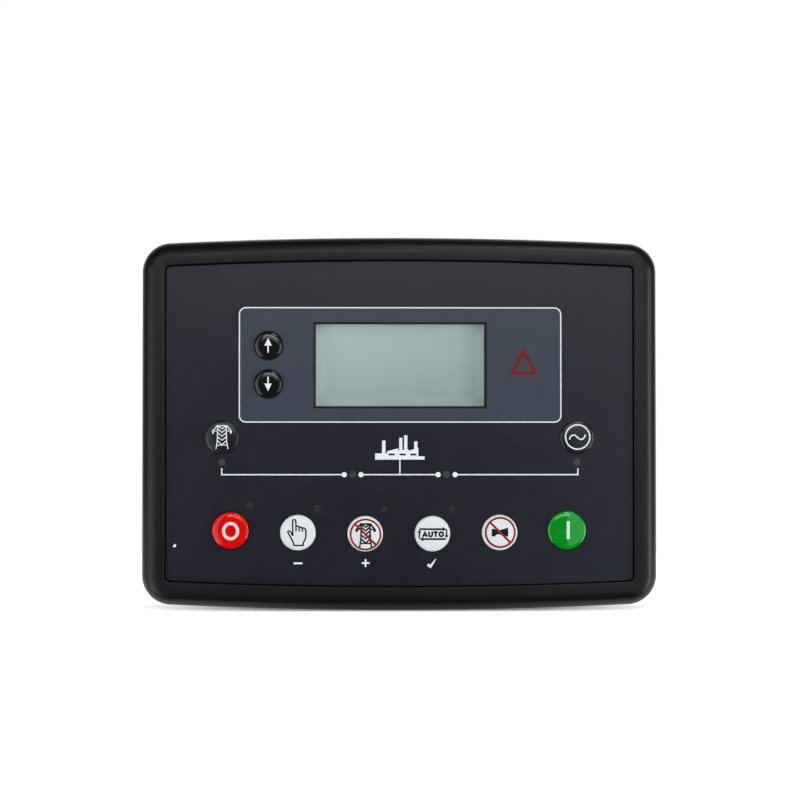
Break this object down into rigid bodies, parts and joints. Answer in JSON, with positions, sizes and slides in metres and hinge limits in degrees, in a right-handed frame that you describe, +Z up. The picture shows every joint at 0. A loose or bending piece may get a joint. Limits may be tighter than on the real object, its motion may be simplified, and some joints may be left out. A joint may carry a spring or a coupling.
{
  "type": "generator set controller",
  "caption": "Panel-mounted generator set controller: bowed black bezel, printed fascia with a display, domed push keys and lamps, and a case with screw-terminal plugs behind the panel.",
  "frame": {"origin": "centre of the panel's front surface in the cut-out, on the plane of the bezel's back face", "axes": "+Z up, +X to the operator's right, +Y into the panel; the operator looks along +Y"},
  "size_m": [0.2168, 0.043, 0.1572],
  "materials": {
    "bezel_plastic": "fine satin black moulding",
    "fascia_film": "matt dark blue-grey printed film",
    "gasket_rubber": "closed-cell black foam",
    "clear_window": "clear hard-coated acrylic",
    "red_key": "gloss red",
    "green_key": "gloss green",
    "white_key": "satin white",
    "black_key": "gloss black",
    "fascia_key": "satin dark blue-grey",
    "switch_plastic": "matt black",
    "lcd_glass": "pale grey-green cell under a polariser",
    "sheet_steel": "tinned sheet",
    "diffuser_plastic": "milky white",
    "lamp_resin": "tinted clear resin",
    "alarm_resin": "red resin",
    "circuit_board": "green solder mask",
    "screw_steel": "zinc plated",
    "chip_resin": "black",
    "relay_plastic": "blue",
    "terminal_plastic": "green polyamide",
    "contact_brass": "tinned brass",
    "case_plastic": "fine textured black moulding"
  },
  "bodies": {
    "controller": {"bezel": "bezel_plastic", "fascia_overlay": "fascia_film", "panel_gasket": "gasket_rubber", "display_window": "clear_window", "push_switches": "switch_plastic", "lcd_cell": "lcd_glass", "lcd_frame": "sheet_steel", "lcd_backlight": "diffuser_plastic", "status_lamps": "lamp_resin", "alarm_lamp": "alarm_resin", "display_board": "circuit_board", "display_board_screws": "screw_steel", "processor": "chip_resin", "board_link": "switch_plastic", "main_board": "circuit_board", "main_board_screws": "screw_steel", "output_relays": "relay_plastic", "smoothing_capacitors": "chip_resin", "terminal_headers": "terminal_plastic", "header_pins": "contact_brass", "terminal_screws": "screw_steel", "usb_socket": "sheet_steel", "usb_tongue": "diffuser_plastic", "rear_case": "case_plastic", "case_screws": "screw_steel", "supply_plug": "terminal_plastic", "sensor_plug": "terminal_plastic", "input_plug": "terminal_plastic", "generator_plug": "terminal_plastic", "mains_plug": "terminal_plastic", "current_plug": "terminal_plastic"},
    "stop_button": {"stop_key": "red_key", "stop_plunger": "switch_plastic"},
    "manual_button": {"manual_key": "white_key", "manual_plunger": "switch_plastic"},
    "test_button": {"test_key": "white_key", "test_plunger": "switch_plastic"},
    "auto_button": {"auto_key": "white_key", "auto_plunger": "switch_plastic"},
    "mute_button": {"mute_key": "white_key", "mute_plunger": "switch_plastic"},
    "start_button": {"start_key": "green_key", "start_plunger": "switch_plastic"},
    "up_button": {"up_key": "black_key", "up_plunger": "switch_plastic"},
    "down_button": {"down_key": "black_key", "down_plunger": "switch_plastic"},
    "mains_button": {"mains_key": "fascia_key", "mains_plunger": "switch_plastic"},
    "generator_button": {"generator_key": "fascia_key", "generator_plunger": "switch_plastic"}
  },
  "joints": [
    {"name": "stop_press", "type": "slide", "parent": "controller", "child": "stop_button", "axis": [0, 1, 0], "range_m": [0, 0.0005], "stiffness_N_per_m": 3000, "springref_m": -0.0003},
    {"name": "manual_press", "type": "slide", "parent": "controller", "child": "manual_button", "axis": [0, 1, 0], "range_m": [0, 0.0005], "stiffness_N_per_m": 3000, "springref_m": -0.0003},
    {"name": "test_press", "type": "slide", "parent": "controller", "child": "test_button", "axis": [0, 1, 0], "range_m": [0, 0.0005], "stiffness_N_per_m": 3000, "springref_m": -0.0003},
    {"name": "auto_press", "type": "slide", "parent": "controller", "child": "auto_button", "axis": [0, 1, 0], "range_m": [0, 0.0005], "stiffness_N_per_m": 3000, "springref_m": -0.0003},
    {"name": "mute_press", "type": "slide", "parent": "controller", "child": "mute_button", "axis": [0, 1, 0], "range_m": [0, 0.0005], "stiffness_N_per_m": 3000, "springref_m": -0.0003},
    {"name": "start_press", "type": "slide", "parent": "controller", "child": "start_button", "axis": [0, 1, 0], "range_m": [0, 0.0005], "stiffness_N_per_m": 3000, "springref_m": -0.0003},
    {"name": "up_press", "type": "slide", "parent": "controller", "child": "up_button", "axis": [0, 1, 0], "range_m": [0, 0.0005], "stiffness_N_per_m": 3000, "springref_m": -0.0003},
    {"name": "down_press", "type": "slide", "parent": "controller", "child": "down_button", "axis": [0, 1, 0], "range_m": [0, 0.0005], "stiffness_N_per_m": 3000, "springref_m": -0.0003},
    {"name": "mains_press", "type": "slide", "parent": "controller", "child": "mains_button", "axis": [0, 1, 0], "range_m": [0, 0.0005], "stiffness_N_per_m": 3000, "springref_m": -0.0003},
    {"name": "generator_press", "type": "slide", "parent": "controller", "child": "generator_button", "axis": [0, 1, 0], "range_m": [0, 0.0005], "stiffness_N_per_m": 3000, "springref_m": -0.0003}
  ]
}
